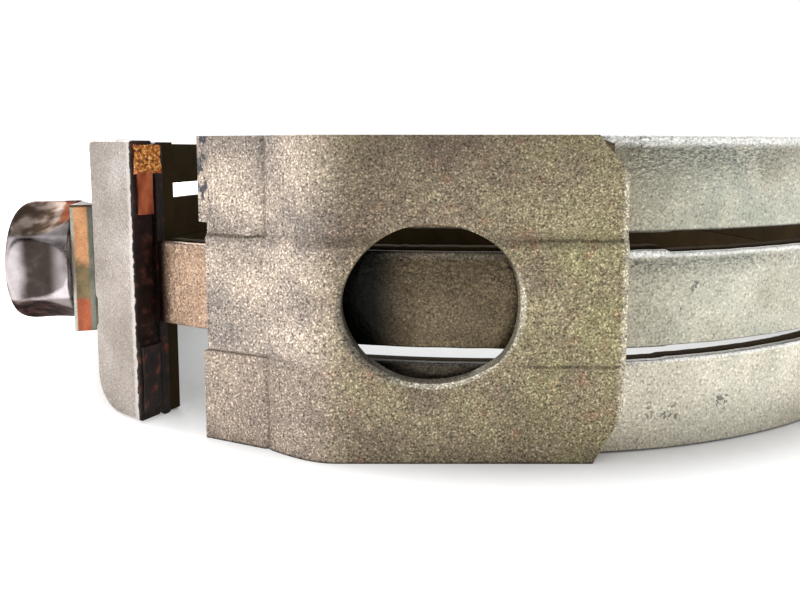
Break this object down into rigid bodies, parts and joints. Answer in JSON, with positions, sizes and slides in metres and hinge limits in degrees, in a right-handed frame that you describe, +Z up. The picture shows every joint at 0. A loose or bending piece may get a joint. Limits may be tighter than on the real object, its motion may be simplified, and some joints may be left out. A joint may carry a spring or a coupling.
{
  "type": "double-wrap brake band",
  "caption": "Round band of three lined steel straps that wrap one drum twice, with an anchor bracket, a junction plate and an apply lug with a six-sided button.",
  "frame": {"origin": "centre of the bounding box, on the plane that the band's lower edges stand on", "axes": "+Z up along the ring's axis, which is at x 0, y 1.27 mm; -Y towards the anchor bracket's flat face; -X towards the apply button"},
  "size_m": [0.1723, 0.1748, 0.04],
  "materials": {
    "strap_steel": "light grey shot-blasted strip, edges bright",
    "blasted_steel": "grainy shot-blasted sheet, warm olive grey",
    "dark_steel": "dark smooth steel with bright edges",
    "braze_copper": "copper brazing, dull orange",
    "friction_lining": "dark olive-brown friction paper, matt"
  },
  "bodies": {
    "anchor_end": {"upper_strap": "strap_steel", "lower_strap": "strap_steel", "upper_lining_1": "friction_lining", "upper_lining_2": "friction_lining", "upper_lining_3": "friction_lining", "lower_lining_1": "friction_lining", "lower_lining_2": "friction_lining", "lower_lining_3": "friction_lining", "anchor_bracket": "blasted_steel", "anchor_braze_upper_left": "braze_copper", "anchor_braze_upper_right": "braze_copper", "anchor_braze_lower_left": "braze_copper", "anchor_braze_lower_right": "braze_copper"},
    "junction_end": {"junction_strip": "strap_steel", "junction_lining": "friction_lining", "junction_plate": "blasted_steel", "junction_braze_upper": "braze_copper", "junction_braze_lower": "braze_copper"},
    "apply_end": {"middle_strap": "strap_steel", "middle_lining_1": "friction_lining", "middle_lining_2": "friction_lining", "middle_lining_3": "friction_lining", "apply_lug": "blasted_steel", "lug_braze": "braze_copper", "button_braze": "braze_copper", "apply_button": "dark_steel"}
  },
  "joints": [
    {"name": "apply_travel", "type": "hinge", "parent": "anchor_end", "child": "apply_end", "pos_m": [0, 0.00127, 0], "axis": [0, 0, 1], "range_deg": [0, 2], "stiffness_Nm_per_rad": 2},
    {"name": "junction_travel", "type": "hinge", "parent": "anchor_end", "child": "junction_end", "pos_m": [0, 0.00127, 0], "axis": [0, 0, 1], "range_deg": [0, 1], "stiffness_Nm_per_rad": 1}
  ],
  "couplings": [
    {"joint": "junction_travel", "follows": "apply_travel", "ratio": 0.5}
  ]
}
